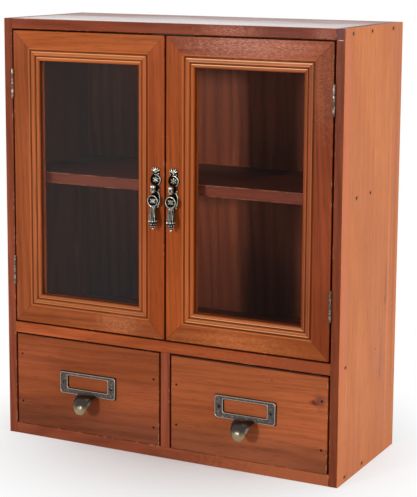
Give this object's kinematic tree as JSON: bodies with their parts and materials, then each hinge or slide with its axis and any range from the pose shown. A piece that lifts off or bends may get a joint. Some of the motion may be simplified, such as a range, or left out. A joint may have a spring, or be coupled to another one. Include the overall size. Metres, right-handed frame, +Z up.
{
  "type": "desktop cabinet",
  "caption": "Upright stained wood desktop case with glazed framed doors over a shelf, drawers with label holders and finger scoops below, and hanging cast drop pulls on the doors.",
  "frame": {"origin": "middle of the underside of the case", "axes": "+Z up; the doors and drawers face -Y; +X is to the right seen from the front"},
  "size_m": [0.36, 0.1646, 0.42],
  "materials": {
    "stained_wood": "reddish brown stain under satin varnish",
    "back_wood": "thin brown stained sheet, matt",
    "drawer_wood": "plain unstained wood",
    "glass": "clear",
    "antique_bronze": "dark antiqued casting with rubbed bright edges",
    "hinge_nickel": "dull nickel plate",
    "plated_steel": "zinc plated",
    "nail_steel": "darkened steel",
    "catch_plastic": "brown moulding",
    "magnet": "bare ferrite"
  },
  "bodies": {
    "carcass": {"back_panel": "back_wood", "bottom_board": "stained_wood", "carcass_nails": "nail_steel", "case_screws": "plated_steel", "catch_housing": "catch_plastic", "catch_magnets": "magnet", "drawer_partition": "stained_wood", "hinge_pins": "hinge_nickel", "left_lower_hinge_case_leaf": "hinge_nickel", "left_side_panel": "stained_wood", "left_upper_hinge_case_leaf": "hinge_nickel", "middle_board": "stained_wood", "right_lower_hinge_case_leaf": "hinge_nickel", "right_side_panel": "stained_wood", "right_upper_hinge_case_leaf": "hinge_nickel", "shelf": "stained_wood", "top_panel": "stained_wood"},
    "left_door": {"left_door_bottom_rail": "stained_wood", "left_door_glass": "glass", "left_door_glazing_strips": "stained_wood", "left_door_hinge_stile": "stained_wood", "left_door_meeting_stile": "stained_wood", "left_door_screws": "plated_steel", "left_door_strike_plate": "plated_steel", "left_door_top_rail": "stained_wood", "left_lower_hinge_door_leaf": "hinge_nickel", "left_pull_backplate": "antique_bronze", "left_pull_post": "antique_bronze", "left_upper_hinge_door_leaf": "hinge_nickel"},
    "right_door": {"right_door_bottom_rail": "stained_wood", "right_door_glass": "glass", "right_door_glazing_strips": "stained_wood", "right_door_hinge_stile": "stained_wood", "right_door_meeting_stile": "stained_wood", "right_door_screws": "plated_steel", "right_door_strike_plate": "plated_steel", "right_door_top_rail": "stained_wood", "right_lower_hinge_door_leaf": "hinge_nickel", "right_pull_backplate": "antique_bronze", "right_pull_post": "antique_bronze", "right_upper_hinge_door_leaf": "hinge_nickel"},
    "left_pull": {"left_pull_drop": "antique_bronze"},
    "right_pull": {"right_pull_drop": "antique_bronze"},
    "left_drawer": {"left_drawer_back": "drawer_wood", "left_drawer_bottom": "drawer_wood", "left_drawer_front": "stained_wood", "left_drawer_holder_screws": "antique_bronze", "left_drawer_label_holder": "antique_bronze", "left_drawer_left_side": "drawer_wood", "left_drawer_nails": "nail_steel", "left_drawer_right_side": "drawer_wood"},
    "right_drawer": {"right_drawer_back": "drawer_wood", "right_drawer_bottom": "drawer_wood", "right_drawer_front": "stained_wood", "right_drawer_holder_screws": "antique_bronze", "right_drawer_label_holder": "antique_bronze", "right_drawer_left_side": "drawer_wood", "right_drawer_nails": "nail_steel", "right_drawer_right_side": "drawer_wood"}
  },
  "joints": [
    {"name": "left_door_hinge", "type": "hinge", "parent": "carcass", "child": "left_door", "pos_m": [-0.17, -0.0738, 0.2632], "axis": [0, 0, -1], "range_deg": [0, 180]},
    {"name": "left_pull_swing", "type": "hinge", "parent": "left_door", "child": "left_pull", "pos_m": [-0.0096, -0.079, 0.2662], "axis": [-1, 0, 0], "range_deg": [0, 100]},
    {"name": "left_drawer_slide", "type": "slide", "parent": "carcass", "child": "left_drawer", "axis": [0, -1, 0], "range_m": [0, 0.1]},
    {"name": "right_door_hinge", "type": "hinge", "parent": "carcass", "child": "right_door", "pos_m": [0.17, -0.0738, 0.2632], "axis": [0, 0, 1], "range_deg": [0, 180]},
    {"name": "right_pull_swing", "type": "hinge", "parent": "right_door", "child": "right_pull", "pos_m": [0.0096, -0.079, 0.2662], "axis": [-1, 0, 0], "range_deg": [0, 100]},
    {"name": "right_drawer_slide", "type": "slide", "parent": "carcass", "child": "right_drawer", "axis": [0, -1, 0], "range_m": [0, 0.1]}
  ]
}
